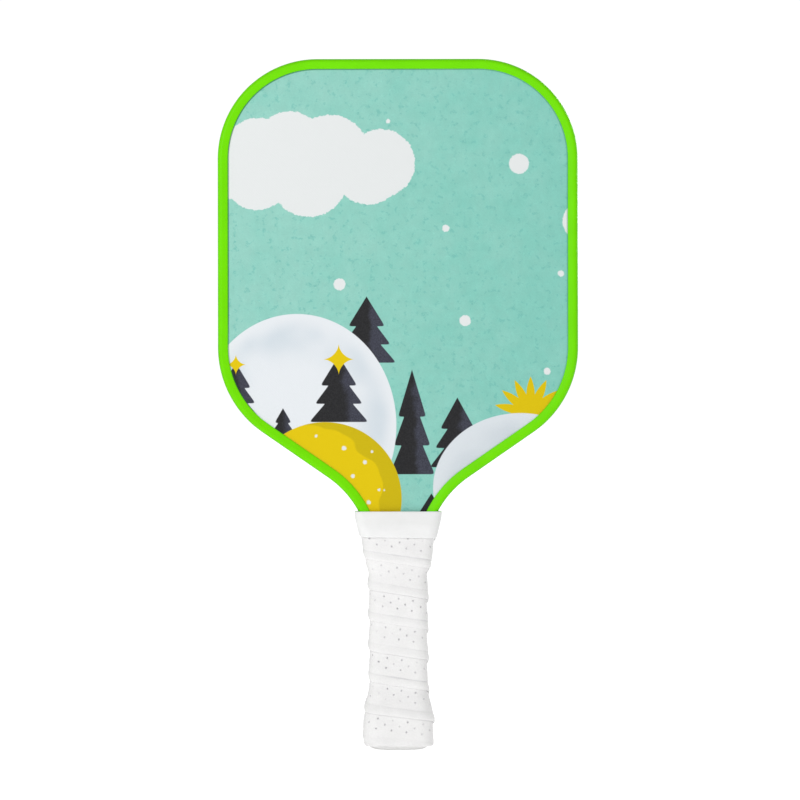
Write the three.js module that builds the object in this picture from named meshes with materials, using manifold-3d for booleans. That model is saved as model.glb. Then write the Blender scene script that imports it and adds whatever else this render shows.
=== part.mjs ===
// Pickleball paddle: a glued honeycomb panel with an edge guard and a built-up, wrapped handle.
// Millimetres. +Z runs from the butt to the top of the head, the front face looks towards -Y,
// and the origin is the middle of the butt's end.

import * as THREE from 'three'
import { mergeVertices } from 'three/addons/utils/BufferGeometryUtils.js'
import Module from 'manifold-3d'

const wasm = await Module()
wasm.setup()

// ---------------------------------------------------------------- driving dimensions

// Outline of the head, measured at the outside of the edge guard.
const headTop = 396.5
const headHalfWidth = 103.5
const topCornerRadius = 57.3
const shoulderRadius = 59.6
const shoulderCentreZ = 231
const throatSlope = THREE.MathUtils.degToRad(34.65)
const throatRadius = 56.4
const neckHalfWidth = 16.07

// Layers of the panel, from the middle out.
const coreThickness = 12.4
const adhesiveThickness = 0.15
const faceSheetThickness = 0.5
const graphicThickness = 0.15
const graphicEndZ = 128

// Honeycomb: cells across flats, the wall between two cells, and the solid rim round them all.
const cellPitch = 16
const cellWall = 0.6
const coreRim = 1

// Edge guard, a U-channel: its web is at the panel's edge and its lips lie on the faces.
const guardWeb = 1.4
const guardTapeThickness = 0.2
const guardLipWidth = 6
const guardLipThickness = 1.3
const guardLipEdge = 0.6
const guardEndZ = 104

// Handle: two wooden pallets on the panel's tongue, which narrow between the guard's lips.
const handleEndZ = 3.2
const handleHalfDepth = 12
const handleCorner = 5
const palletShoulderZ = 100
const palletTipZ = 133
const palletTipHalfWidth = 9.4
const palletTipHalfDepth = 8.4
const palletTipCorner = 3

// Butt cap: a flared cup with a recessed badge plate.
const capFlareHalfWidth = 17.4
const capFlareHalfDepth = 14.7
const capFlareCorner = 7.5
const capFlareTopZ = 19
const capTopZ = 35
const capSkirtEdge = 0.4
const medallionHalfWidth = 9
const medallionHalfDepth = 6.5
const medallionThickness = 1
const medallionGap = 0.2

// Staples through the cap's skirt.
const stapleZ = 13
const stapleSpan = 10
const stapleWire = 1
const stapleDepth = 6

// Wrapping, with the collar stretched over its top end.
const wrapStartZ = 3
const wrapTopZ = 127
const gripAdhesiveThickness = 0.23
const gripThickness = 2
const finishingTapeThickness = 0.25
const collarBottomZ = 122
const collarTopZ = 136.7
const collarThickness = 1.3

// Room left where a piece is cut round its neighbour or stretched over it.
const clearance = 0.3

// Fineness: segments in each half of an outline's arc, and in a quarter of a handle section.
const arcSegments = 8
const cornerSegments = 5

// ---------------------------------------------------------------- worked-out dimensions

const quarterTurn = Math.PI / 2
const throatCentreX = neckHalfWidth + throatRadius
const shoulderCentreX = headHalfWidth - shoulderRadius
const topCornerCentreX = headHalfWidth - topCornerRadius
const topCornerCentreZ = headTop - topCornerRadius

// The throat's straight line touches the shoulder's arc at one end and the throat's arc at the other.
const shoulderTouchX = shoulderCentreX + shoulderRadius * Math.sin(throatSlope)
const shoulderTouchZ = shoulderCentreZ - shoulderRadius * Math.cos(throatSlope)
const throatTouchX = throatCentreX - throatRadius * Math.sin(throatSlope)
const throatTouchZ = shoulderTouchZ - (shoulderTouchX - throatTouchX) * Math.tan(throatSlope)
const throatCentreZ = throatTouchZ - throatRadius * Math.cos(throatSlope)

const panelInset = guardWeb + guardTapeThickness
const tongueHalfWidth = neckHalfWidth - panelInset
const adhesiveStart = coreThickness / 2
const faceSheetStart = adhesiveStart + adhesiveThickness
const graphicStart = faceSheetStart + faceSheetThickness
const panelHalfThickness = graphicStart + graphicThickness
const guardHalfThickness = panelHalfThickness + guardLipThickness

// ---------------------------------------------------------------- materials

function material(color, roughness, metalness = 0) {
  return new THREE.MeshStandardMaterial({ color, roughness, metalness })
}

const coreMaterial = material('#e9e6da', 0.6)
const adhesiveMaterial = material('#d9cfa6', 0.4)
const faceSheetMaterial = material('#d8ddd6', 0.35)
const graphicMaterial = material('#93d1c4', 0.35)
const guardMaterial = material('#74e40c', 0.4)
const tapeMaterial = material('#f2f2ee', 0.7)
const palletMaterial = material('#d8b98a', 0.7)
const capMaterial = material('#f2f2f0', 0.45)
const medallionMaterial = material('#dfe3e2', 0.3)
const steelMaterial = material('#b9bcc0', 0.3, 1)
const gripMaterial = material('#f0efee', 0.7)
const collarMaterial = material('#efefef', 0.65)

// ---------------------------------------------------------------- closed meshes from rows of points

function geometryFrom(points, triangles) {
  const geometry = new THREE.BufferGeometry()
  geometry.setAttribute('position', new THREE.Float32BufferAttribute(points.flat(), 3))
  geometry.setIndex(triangles.flat())
  geometry.computeVertexNormals()
  return geometry
}

// Triangles between each row of points and the next, where every row is a closed loop.
function wallTriangles(rowCount, columnCount, joinEnds) {
  const triangles = []
  const wallCount = joinEnds ? rowCount : rowCount - 1
  for (let row = 0; row < wallCount; row++) {
    const nextRow = (row + 1) % rowCount
    for (let column = 0; column < columnCount; column++) {
      const nextColumn = (column + 1) % columnCount
      const a = row * columnCount + column
      const b = row * columnCount + nextColumn
      const c = nextRow * columnCount + nextColumn
      const d = nextRow * columnCount + column
      triangles.push([a, b, c], [a, c, d])
    }
  }
  return triangles
}

// ---------------------------------------------------------------- the handle's cross-sections

// A section is { z, halfWidth, halfDepth, corner }: a rounded rectangle, anticlockwise from above.
function sectionPoints({ z, halfWidth, halfDepth, corner }) {
  const points = []
  for (let quarter = 0; quarter < 4; quarter++) {
    const signX = quarter === 0 || quarter === 3 ? 1 : -1
    const signY = quarter < 2 ? 1 : -1
    for (let step = 0; step <= cornerSegments; step++) {
      const angle = (quarter + step / cornerSegments) * quarterTurn
      const x = signX * (halfWidth - corner) + corner * Math.cos(angle)
      const y = signY * (halfDepth - corner) + corner * Math.sin(angle)
      points.push([x, y, z])
    }
  }
  return points
}

function grown(section, thickness) {
  return {
    z: section.z,
    halfWidth: section.halfWidth + thickness,
    halfDepth: section.halfDepth + thickness,
    corner: section.corner + thickness,
  }
}

// A solid through the sections, with flat ends. They may turn back inside it to leave a pocket.
function loft(sections) {
  const rows = sections.map(sectionPoints)
  const columnCount = rows[0].length
  const lastRow = (rows.length - 1) * columnCount
  const triangles = wallTriangles(rows.length, columnCount, false)
  for (let column = 1; column < columnCount - 1; column++) {
    triangles.push([column + 1, column, 0])
    triangles.push([lastRow, lastRow + column, lastRow + column + 1])
  }
  return geometryFrom(rows.flat(), triangles)
}

// An open-ended sleeve between an outer and an inner set of sections, both from the bottom up.
function sleeve(outer, inner) {
  const rows = [...outer, ...inner.toReversed()].map(sectionPoints)
  return geometryFrom(rows.flat(), wallTriangles(rows.length, rows[0].length, true))
}

// ---------------------------------------------------------------- the head's outline

// Half-width of the neck and throat at height z, moved in from the outside of the guard.
function throatHalfWidth(z, inset = 0) {
  const rise = Math.max(0, z - throatCentreZ)
  return throatCentreX - Math.sqrt((throatRadius + inset) ** 2 - rise ** 2)
}

// The outline from lowestZ on the right, up and over the head, to lowestZ on the left.
function outline(inset, lowestZ) {
  const shape = new THREE.Shape()
  const hasNeck = lowestZ < throatCentreZ
  const startX = throatHalfWidth(lowestZ, inset)
  const startAngle = hasNeck ? 0 : Math.asin((lowestZ - throatCentreZ) / (throatRadius + inset))
  const outwardArc = (x, z, radius, from, to) => shape.absarc(x, z, radius - inset, from, to, false)
  const inwardArc = (x, z, radius, from, to) => shape.absarc(x, z, radius + inset, from, to, true)

  shape.moveTo(startX, lowestZ)
  if (hasNeck) shape.lineTo(startX, throatCentreZ)
  inwardArc(throatCentreX, throatCentreZ, throatRadius, Math.PI - startAngle, quarterTurn + throatSlope)
  outwardArc(shoulderCentreX, shoulderCentreZ, shoulderRadius, throatSlope - quarterTurn, 0)
  outwardArc(topCornerCentreX, topCornerCentreZ, topCornerRadius, 0, quarterTurn)
  outwardArc(-topCornerCentreX, topCornerCentreZ, topCornerRadius, quarterTurn, Math.PI)
  outwardArc(-shoulderCentreX, shoulderCentreZ, shoulderRadius, Math.PI, 3 * quarterTurn - throatSlope)
  inwardArc(-throatCentreX, throatCentreZ, throatRadius, quarterTurn - throatSlope, startAngle)
  if (hasNeck) shape.lineTo(-startX, lowestZ)
  return shape
}

// A flat sheet of that outline, on the front or back of the middle plane, from start outwards.
function sheet(shape, start, thickness, side) {
  const geometry = new THREE.ExtrudeGeometry(shape, {
    depth: thickness,
    bevelEnabled: false,
    curveSegments: arcSegments,
  })
  geometry.rotateX(quarterTurn)
  geometry.translate(0, side === 'front' ? -start : start + thickness, 0)
  return geometry
}

// A solid swept along the outline. Its profile's points are [inset from the outline, y],
// and run clockwise when the inset is drawn to the right and y up.
function sweep(profile, lowestZ) {
  const tracks = profile.map(([inset, y]) => {
    const track = outline(inset, lowestZ).getPoints(arcSegments)
    return track.map((point) => [point.x, y, point.y])
  })
  const stationCount = tracks[0].length
  const points = []
  for (let station = 0; station < stationCount; station++) {
    points.push(...tracks.map((track) => track[station]))
  }
  const triangles = wallTriangles(stationCount, profile.length, false)
  const contour = profile.map(([inset, y]) => new THREE.Vector2(inset, y))
  const lastStation = (stationCount - 1) * profile.length
  for (const [a, b, c] of THREE.ShapeUtils.triangulateShape(contour, [])) {
    triangles.push([a, b, c])
    triangles.push([lastStation + c, lastStation + b, lastStation + a])
  }
  return geometryFrom(points, triangles)
}

// ---------------------------------------------------------------- solids for cuts

function toSolid(geometry) {
  const bare = geometry.clone()
  bare.deleteAttribute('normal')
  bare.deleteAttribute('uv')
  const merged = mergeVertices(bare)
  return new wasm.Manifold(new wasm.Mesh({
    numProp: 3,
    vertProperties: new Float32Array(merged.attributes.position.array),
    triVerts: new Uint32Array(merged.index.array),
  }))
}

function toGeometry(solid) {
  const mesh = solid.getMesh()
  const geometry = new THREE.BufferGeometry()
  geometry.setAttribute('position', new THREE.BufferAttribute(new Float32Array(mesh.vertProperties), 3))
  geometry.setIndex(new THREE.BufferAttribute(new Uint32Array(mesh.triVerts), 1))
  geometry.computeVertexNormals()
  return geometry
}

// A block between two corners, mirrored to the side it belongs to: its depths are from the middle plane.
function block(side, fromX, toX, fromDepth, toDepth, fromZ, toZ) {
  const sign = side === 'front' ? -1 : 1
  const geometry = new THREE.BoxGeometry(toX - fromX, toDepth - fromDepth, toZ - fromZ)
  geometry.translate((fromX + toX) / 2, sign * (fromDepth + toDepth) / 2, (fromZ + toZ) / 2)
  return toSolid(geometry)
}

// ---------------------------------------------------------------- the panel

// Even-odd test of the point (x, z) against a polygon.
function isInside(polygon, x, z) {
  let inside = false
  polygon.forEach((start, i) => {
    const end = polygon[(i + 1) % polygon.length]
    const crosses = (start.y > z) !== (end.y > z)
    const crossingX = start.x + (end.x - start.x) * (z - start.y) / (end.y - start.y)
    if (crosses && x < crossingX) inside = !inside
  })
  return inside
}

function hexagon(x, z, radius) {
  const corners = Array.from({ length: 6 }, (_, i) => {
    const angle = (i + 0.5) * Math.PI / 3
    return new THREE.Vector2(x + radius * Math.cos(angle), z + radius * Math.sin(angle))
  })
  return new THREE.Shape(corners)
}

// Rows of hexagonal cells right through the panel. The solid rim cuts off those at its edge.
function honeycombCore() {
  const insideRim = outline(panelInset + coreRim, handleEndZ + coreRim)
  const rimPoints = insideRim.getPoints(arcSegments)
  const cellRadius = (cellPitch - cellWall) / Math.sqrt(3)
  const rowPitch = cellPitch * Math.sqrt(3) / 2
  const columnCount = Math.ceil(headHalfWidth / cellPitch)
  const cells = []
  for (let row = 0; row * rowPitch < headTop; row++) {
    const shift = row % 2 === 0 ? 0 : cellPitch / 2
    for (let column = -columnCount; column <= columnCount; column++) {
      const x = column * cellPitch + shift
      const z = row * rowPitch
      if (isInside(rimPoints, x, z)) cells.push(hexagon(x, z, cellRadius))
    }
  }
  const slab = (shape) => toSolid(sheet(shape, -coreThickness / 2, coreThickness, 'front'))
  return toGeometry(slab(outline(panelInset, handleEndZ)).subtract(slab(cells).intersect(slab(insideRim))))
}

function adhesiveFilm(side) {
  return sheet(outline(panelInset, handleEndZ), adhesiveStart, adhesiveThickness, side)
}

function faceSheet(side) {
  return sheet(outline(panelInset, handleEndZ), faceSheetStart, faceSheetThickness, side)
}

function graphicFilm(side) {
  return sheet(outline(panelInset, graphicEndZ), graphicStart, graphicThickness, side)
}

// ---------------------------------------------------------------- the edge guard

// The channel is rounded outside, with lips that thin towards their edges.
function edgeGuard() {
  const half = [
    [0, guardHalfThickness - 4],
    [guardLipWidth * 0.05, guardHalfThickness - 2.2],
    [guardLipWidth * 0.2, guardHalfThickness - 0.8],
    [guardLipWidth * 0.45, guardHalfThickness],
    [guardLipWidth * 0.8, guardHalfThickness - 0.2],
    [guardLipWidth, panelHalfThickness + guardLipEdge],
    [guardLipWidth, panelHalfThickness],
    [guardWeb, panelHalfThickness],
  ]
  const otherHalf = half.map(([inset, y]) => [inset, -y]).toReversed()
  return sweep([...half, ...otherHalf], guardEndZ)
}

function edgeGuardTape() {
  return sweep([
    [guardWeb, -panelHalfThickness],
    [guardWeb, panelHalfThickness],
    [panelInset, panelHalfThickness],
    [panelInset, -panelHalfThickness],
  ], guardEndZ)
}

// ---------------------------------------------------------------- the handle

const bareHandle = { halfWidth: tongueHalfWidth, halfDepth: handleHalfDepth, corner: handleCorner }

// A staple on one face, as three bars: a crown in the cap's skirt and two legs down into the pallet.
function stapleSolid(side, gap = 0) {
  const outerX = stapleSpan / 2 + gap
  const innerX = stapleSpan / 2 - stapleWire - gap
  const top = capFlareHalfDepth + gap
  const underCrown = capFlareHalfDepth - stapleWire - gap
  const tip = capFlareHalfDepth - stapleDepth - gap
  const lowZ = stapleZ - stapleWire / 2 - gap
  const highZ = stapleZ + stapleWire / 2 + gap
  const crown = block(side, -outerX, outerX, underCrown, top, lowZ, highZ)
  const leftLeg = block(side, -outerX, -innerX, tip, top, lowZ, highZ)
  const rightLeg = block(side, innerX, outerX, tip, top, lowZ, highZ)
  return crown.add(leftLeg).add(rightLeg)
}

// One half of the handle's wood. It lies on the face sheet, and its tip lies on the printed film.
function handlePallet(side) {
  const tip = { halfWidth: palletTipHalfWidth, corner: palletTipHalfDepth - panelHalfThickness }
  const bothHalves = loft([
    { ...bareHandle, z: handleEndZ },
    { ...bareHandle, z: palletShoulderZ },
    { ...tip, z: guardEndZ - clearance, halfDepth: handleHalfDepth },
    { ...tip, z: palletTipZ, halfDepth: palletTipHalfDepth },
  ])
  const reach = 2 * handleHalfDepth
  const onSheet = block(side, -reach, reach, graphicStart, reach, 0, graphicEndZ)
  const onFilm = block(side, -reach, reach, panelHalfThickness, reach, graphicEndZ, headTop)
  const half = toSolid(bothHalves).intersect(onSheet.add(onFilm))
  return toGeometry(half.subtract(stapleSolid(side, clearance)))
}

function capStaple(side) {
  return toGeometry(stapleSolid(side))
}

// ---------------------------------------------------------------- the butt cap

const capFlare = { halfWidth: capFlareHalfWidth, halfDepth: capFlareHalfDepth, corner: capFlareCorner }
const medallionSection = {
  halfWidth: medallionHalfWidth,
  halfDepth: medallionHalfDepth,
  corner: medallionHalfDepth * 0.9,
}

// Sections from the badge's recess, out over the domed end, up the flare and down inside the pocket.
function buttCap() {
  const recess = grown(medallionSection, medallionGap)
  const cup = loft([
    { ...recess, z: medallionThickness },
    { ...recess, z: 0 },
    { z: 0, halfWidth: 12, halfDepth: 9.4, corner: 7 },
    { z: 0.7, halfWidth: 14.7, halfDepth: 12, corner: 7.2 },
    { z: 1.8, halfWidth: 16.5, halfDepth: 13.8, corner: 7.4 },
    { ...capFlare, z: wrapStartZ },
    { ...capFlare, z: capFlareTopZ },
    grown({ ...bareHandle, z: capTopZ }, capSkirtEdge),
    { ...bareHandle, z: capTopZ },
    { ...bareHandle, z: handleEndZ },
  ])
  const stapled = toSolid(cup)
    .subtract(stapleSolid('front', clearance))
    .subtract(stapleSolid('back', clearance))
  return toGeometry(stapled)
}

function capMedallion() {
  return loft([{ ...medallionSection, z: 0 }, { ...medallionSection, z: medallionThickness }])
}

// ---------------------------------------------------------------- the wrapping

// What the wrapping lies on at height z where it climbs over the pallets' tips and the guard's ends.
function overGuard(z) {
  const alongTip = Math.min(1, (z - guardEndZ) / (palletTipZ - guardEndZ))
  return {
    z,
    halfWidth: throatHalfWidth(z) + clearance,
    halfDepth: THREE.MathUtils.lerp(handleHalfDepth, palletTipHalfDepth, alongTip) + clearance,
    corner: THREE.MathUtils.lerp(handleCorner, palletTipCorner, alongTip),
  }
}

// What the strip lies on from the bottom up: the cap's flare, the bare handle, then the guard's ends.
const wrapBase = [
  { ...capFlare, z: wrapStartZ },
  { ...capFlare, z: capFlareTopZ },
  grown({ ...bareHandle, z: capTopZ }, capSkirtEdge),
  { ...bareHandle, z: capTopZ + clearance },
  { ...bareHandle, z: palletShoulderZ },
  ...[guardEndZ - clearance, 113, collarBottomZ, wrapTopZ].map(overGuard),
]
const gripInside = wrapBase.map((section) => grown(section, gripAdhesiveThickness))
const gripOutside = gripInside.map((section) => grown(section, gripThickness))

// The finishing tape covers only the stretch of grip that is under the collar.
const gripUnderCollar = gripOutside.filter((section) => section.z >= collarBottomZ)
const tapeOutside = gripUnderCollar.map((section) => grown(section, finishingTapeThickness))

function gripCollar() {
  const inside = [...tapeOutside, ...[wrapTopZ + clearance, palletTipZ, collarTopZ].map(overGuard)]
  const outside = [...tapeOutside, overGuard(collarTopZ)]
  return sleeve(outside.map((section) => grown(section, collarThickness)), inside)
}

// ---------------------------------------------------------------- the assembly

const paddle = new THREE.Group()

function addPiece(name, geometry, pieceMaterial) {
  const mesh = new THREE.Mesh(geometry, pieceMaterial)
  mesh.name = name
  paddle.add(mesh)
}

addPiece('honeycomb_core', honeycombCore(), coreMaterial)
for (const side of ['front', 'back']) {
  addPiece(`${side}_adhesive_film`, adhesiveFilm(side), adhesiveMaterial)
  addPiece(`${side}_face_sheet`, faceSheet(side), faceSheetMaterial)
  addPiece(`${side}_graphic_film`, graphicFilm(side), graphicMaterial)
  addPiece(`${side}_handle_pallet`, handlePallet(side), palletMaterial)
  addPiece(`${side}_cap_staple`, capStaple(side), steelMaterial)
}
addPiece('edge_guard', edgeGuard(), guardMaterial)
addPiece('edge_guard_tape', edgeGuardTape(), tapeMaterial)
addPiece('butt_cap', buttCap(), capMaterial)
addPiece('butt_cap_medallion', capMedallion(), medallionMaterial)
addPiece('grip_adhesive_tape', sleeve(gripInside, wrapBase), adhesiveMaterial)
addPiece('grip_tape', sleeve(gripOutside, gripInside), gripMaterial)
addPiece('grip_finishing_tape', sleeve(tapeOutside, gripUnderCollar), tapeMaterial)
addPiece('grip_collar', gripCollar(), collarMaterial)

export default paddle
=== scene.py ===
import math

import bmesh
import bpy
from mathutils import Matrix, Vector, noise


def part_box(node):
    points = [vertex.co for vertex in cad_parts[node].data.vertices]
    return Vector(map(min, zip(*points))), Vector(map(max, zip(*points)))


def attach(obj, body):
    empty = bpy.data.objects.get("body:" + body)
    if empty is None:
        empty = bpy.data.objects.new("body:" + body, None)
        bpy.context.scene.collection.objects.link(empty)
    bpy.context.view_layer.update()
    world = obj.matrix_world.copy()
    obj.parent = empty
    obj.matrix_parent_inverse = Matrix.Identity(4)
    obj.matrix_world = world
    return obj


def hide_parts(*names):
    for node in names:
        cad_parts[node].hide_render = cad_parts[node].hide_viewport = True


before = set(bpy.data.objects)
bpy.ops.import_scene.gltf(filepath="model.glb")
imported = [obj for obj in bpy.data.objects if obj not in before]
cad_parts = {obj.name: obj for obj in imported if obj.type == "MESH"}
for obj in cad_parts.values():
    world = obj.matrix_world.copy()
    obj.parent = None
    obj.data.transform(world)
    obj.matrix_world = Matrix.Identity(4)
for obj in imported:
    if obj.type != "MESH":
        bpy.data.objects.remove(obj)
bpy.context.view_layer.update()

# Pickleball paddle. The helpers work in millimetres, in the frame's own axes: +Z from the butt to the top of
# the head, the front face towards -Y. make_piece turns them into metres.
MM = 0.001

# ---- sizes taken from the frame

guard_low, guard_high = (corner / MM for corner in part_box("edge_guard"))
film_low, film_high = (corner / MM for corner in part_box("front_graphic_film"))
grip_low, grip_high = (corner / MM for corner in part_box("grip_tape"))
_, collar_high = (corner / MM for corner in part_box("grip_collar"))

HEAD_TOP = guard_high.z
HEAD_HALF_WIDTH = guard_high.x
GUARD_HALF_THICKNESS = guard_high.y
GUARD_END_Z = guard_low.z
PANEL_HALF_THICKNESS = -film_low.y
FILM_BACK_Y = film_high.y
FILM_END_Z = film_low.z
PANEL_INSET = HEAD_TOP - film_high.z

# ---- sizes shared with the CAD's outline

TOP_CORNER_RADIUS = 57.3
SHOULDER_RADIUS = 59.6
SHOULDER_CENTRE_Z = 231
THROAT_SLOPE = math.radians(34.65)
THROAT_RADIUS = 56.4
NECK_HALF_WIDTH = 16.07
GUARD_LIP_WIDTH = 6

QUARTER_TURN = math.pi / 2
THROAT_CENTRE_X = NECK_HALF_WIDTH + THROAT_RADIUS
SHOULDER_CENTRE_X = HEAD_HALF_WIDTH - SHOULDER_RADIUS
TOP_CORNER_CENTRE_X = HEAD_HALF_WIDTH - TOP_CORNER_RADIUS
TOP_CORNER_CENTRE_Z = HEAD_TOP - TOP_CORNER_RADIUS
SHOULDER_TOUCH_X = SHOULDER_CENTRE_X + SHOULDER_RADIUS * math.sin(THROAT_SLOPE)
SHOULDER_TOUCH_Z = SHOULDER_CENTRE_Z - SHOULDER_RADIUS * math.cos(THROAT_SLOPE)
THROAT_TOUCH_X = THROAT_CENTRE_X - THROAT_RADIUS * math.sin(THROAT_SLOPE)
THROAT_TOUCH_Z = SHOULDER_TOUCH_Z - (SHOULDER_TOUCH_X - THROAT_TOUCH_X) * math.tan(THROAT_SLOPE)
THROAT_CENTRE_Z = THROAT_TOUCH_Z - THROAT_RADIUS * math.cos(THROAT_SLOPE)

# ---- the wrapped handle

# What the grip strip lies on, from the butt up: height, half width, half depth, corner radius.
HANDLE_BASE = [
    (2.0, 18.0, 14.9, 7.0),
    (19.0, 18.0, 14.9, 7.0),
    (24.0, 16.9, 14.2, 7.2),
    (30.0, 15.9, 13.2, 6.4),
    (35.0, 15.0, 12.5, 5.8),
    (45.0, 14.75, 12.25, 5.4),
    (100.0, 14.75, 12.25, 5.4),
    (106.0, 16.5, 12.4, 5.4),
    (114.0, 17.9, 11.6, 5.0),
    (122.0, 19.1, 10.7, 4.6),
    (130.0, 20.5, 9.8, 4.2),
]
STRIP_PITCH = 17.5
STRIP_OVERLAP = 4.6
STRIP_WIDTH = STRIP_PITCH + STRIP_OVERLAP
STRIP_PHASE_Z = 19.3  # the lower edge's height at the front, after no turns
STRIP_LEAN = 0.15  # how far back along the strip a point moves for each millimetre up it
STRIP_STEP = 1.17  # between the columns of points
STRIP_CROWN = 0.35  # how far the strip stands off the middle of each flat
SIDE_CLIMB = 0.012  # how much faster the edge climbs round the narrow sides, in pitches
FOLD_RISE = 4.9
WRAP_START_Z = grip_low.z - 0.8
WRAP_TOP_Z = grip_high.z
WRAP_RIM_RADIUS = 1.3

# The strip's skin over its base. A pair is for turns whose edge stands proud, then for sharply folded turns.
RIDGE_HEIGHTS = (2.65, 2.45)
RIDGE_WAVER = 0.40
RIDGE_SLOPE = 0.3
BODY_HEIGHT = 2.02
TAIL_HEIGHT = 1.42
TAIL_TIP_HEIGHT = 0.35
TAIL_RISE = STRIP_PITCH - 0.4
CREASE_DEPTHS = (0.15, 0.52)
CREASE_WIDTH = 0.42
EDGE_DROPS = (1.05, 0.75)
EDGE_WIDTHS = (1.5, 2.2)
LAP_GAP = 0.03
FOLD_SEED = 5.1  # where the noise of the fold's strength and of the edge's is taken
EDGE_SEED = 1.3
EDGE_WOBBLE = 0.22
SKIN_LUMPS = 0.28
SKIN_PULLS = 0.10

# Perforations: three rows, the middle one half a pitch along. Each ring of a hole has a radius and a depth.
HOLE_PITCH_STEPS = 8
HOLE_ROWS = [(9.5, 1), (12.4, 5), (15.3, 1)]
HOLE_RINGS = [(0.82, 0.0), (0.66, 0.06), (0.57, 0.24), (0.52, 0.82), (0.26, 0.86)]
# HOLE_SHADE sets how much painted shade a hole's depth puts inside it.
HOLE_SHADE = 1.6

# ---- making pieces


def add_object(name, data):
    thing = bpy.data.objects.new(name, data)
    bpy.context.scene.collection.objects.link(thing)
    return thing


def make_piece(name, points, faces, material, replaced):
    """A mesh piece from points in millimetres, riding on the paddle in place of a CAD node."""
    mesh = bpy.data.meshes.new(name)
    mesh.from_pydata([Vector(point) * MM for point in points], [], faces)
    working = bmesh.new()
    working.from_mesh(mesh)
    bmesh.ops.delete(working, geom=[v for v in working.verts if not v.link_faces], context="VERTS")
    bmesh.ops.recalc_face_normals(working, faces=working.faces)
    working.to_mesh(mesh)
    working.free()
    mesh.materials.append(material)
    piece = add_object(name, mesh)
    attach(piece, "root")
    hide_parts(replaced)
    return piece


def smooth(piece, sharp_degrees):
    piece.data.shade_smooth()
    piece.data.set_sharp_from_angle(angle=math.radians(sharp_degrees))


def add_attribute(piece, name, values):
    """A number for each point, which a material can read."""
    attribute = piece.data.attributes.new(name, "FLOAT", "POINT")
    attribute.data.foreach_set("value", values)


def wall_faces(row_count, column_count, close_rows, close_columns):
    """Quads between each row of points and the next."""
    faces = []
    for row in range(row_count if close_rows else row_count - 1):
        next_row = (row + 1) % row_count
        for column in range(column_count if close_columns else column_count - 1):
            next_column = (column + 1) % column_count
            faces.append((
                row * column_count + column,
                row * column_count + next_column,
                next_row * column_count + next_column,
                next_row * column_count + column,
            ))
    return faces


def tube_faces(row_count, column_count):
    """Quads round a tube of points and a face over each of its ends."""
    faces = wall_faces(row_count, column_count, False, True)
    last = (row_count - 1) * column_count
    faces.append(tuple(range(column_count)))
    faces.append(tuple(last + column for column in reversed(range(column_count))))
    return faces


def lerp(start, end, fraction):
    return start + (end - start) * fraction


def ease(value, low, high):
    """0 below low, 1 above high, and a smooth step between them."""
    fraction = min(1, max(0, (value - low) / (high - low)))
    return fraction * fraction * (3 - 2 * fraction)


def bell(distance, width):
    """1 at no distance, falling smoothly to nothing past about twice the width."""
    return math.exp(-((distance / width) ** 2))


def row_below(rows, z):
    """Index of the last row that starts below z and has another row after it."""
    index = 0
    while index < len(rows) - 2 and z > rows[index + 1][0]:
        index += 1
    return index


# ---- the head's outline

OUTLINE_SPACING = 2.0


def outline(inset, lowest_z):
    """Points (x, z) of the outline, from lowest_z on the right over the head to lowest_z on the left."""
    right = []

    def arc(centre_x, centre_z, radius, start, end, turn):
        steps = math.ceil(turn * THROAT_RADIUS / OUTLINE_SPACING)
        for step in range(steps + 1):
            angle = lerp(start, end, step / steps)
            right.append((centre_x + radius * math.cos(angle), centre_z + radius * math.sin(angle)))

    throat_turn = QUARTER_TURN - THROAT_SLOPE
    start_angle = math.asin(max(0, lowest_z - THROAT_CENTRE_Z) / (THROAT_RADIUS + inset))
    if lowest_z < THROAT_CENTRE_Z:
        right.append((NECK_HALF_WIDTH - inset, lowest_z))
    arc(THROAT_CENTRE_X, THROAT_CENTRE_Z, THROAT_RADIUS + inset,
        math.pi - start_angle, QUARTER_TURN + THROAT_SLOPE, throat_turn)
    arc(SHOULDER_CENTRE_X, SHOULDER_CENTRE_Z, SHOULDER_RADIUS - inset,
        -throat_turn, 0, throat_turn)
    arc(TOP_CORNER_CENTRE_X, TOP_CORNER_CENTRE_Z, TOP_CORNER_RADIUS - inset,
        0, QUARTER_TURN, QUARTER_TURN)
    left = [(-x, z) for x, z in reversed(right)]
    return right + left


def path_lengths(track):
    lengths = [0.0]
    for (x0, z0), (x1, z1) in zip(track, track[1:]):
        lengths.append(lengths[-1] + math.hypot(x1 - x0, z1 - z0))
    return lengths


# ---- rounded-rectangle sections


def section_length(section):
    half_width, half_depth, corner = section
    return 4 * (half_width + half_depth - 2 * corner) + 2 * math.pi * corner


def section_point(section, fraction):
    """(x, y, outward x, outward y, bulge) part of the way round a rounded rectangle.

    It starts from the middle of the front and goes towards -X. The bulge is 1 in the middle of a flat
    and 0 at its ends and round the corners.
    """
    half_width, half_depth, corner = section
    flat_x = 2 * (half_width - corner)
    flat_y = 2 * (half_depth - corner)
    bend = corner * QUARTER_TURN
    distance = (fraction * section_length(section) + flat_x / 2) % section_length(section)
    for quarter in range(4):
        flat = flat_x if quarter % 2 == 0 else flat_y
        angle = -QUARTER_TURN * (quarter + 1)
        outward = (math.cos(angle), math.sin(angle))
        travel = (outward[1], -outward[0])
        start_x = (outward[0] - travel[0]) * flat_x / 2
        start_y = (outward[1] - travel[1]) * flat_y / 2
        if distance <= flat:
            along = distance / flat
            x = start_x + outward[0] * corner + travel[0] * distance
            y = start_y + outward[1] * corner + travel[1] * distance
            return x, y, *outward, 4 * along * (1 - along)
        distance -= flat
        if distance <= bend:
            angle -= distance / corner
            outward = (math.cos(angle), math.sin(angle))
            x = start_x + travel[0] * flat + outward[0] * corner
            y = start_y + travel[1] * flat + outward[1] * corner
            return x, y, *outward, 0
        distance -= bend
    raise ValueError("the fraction is outside the section")


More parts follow.
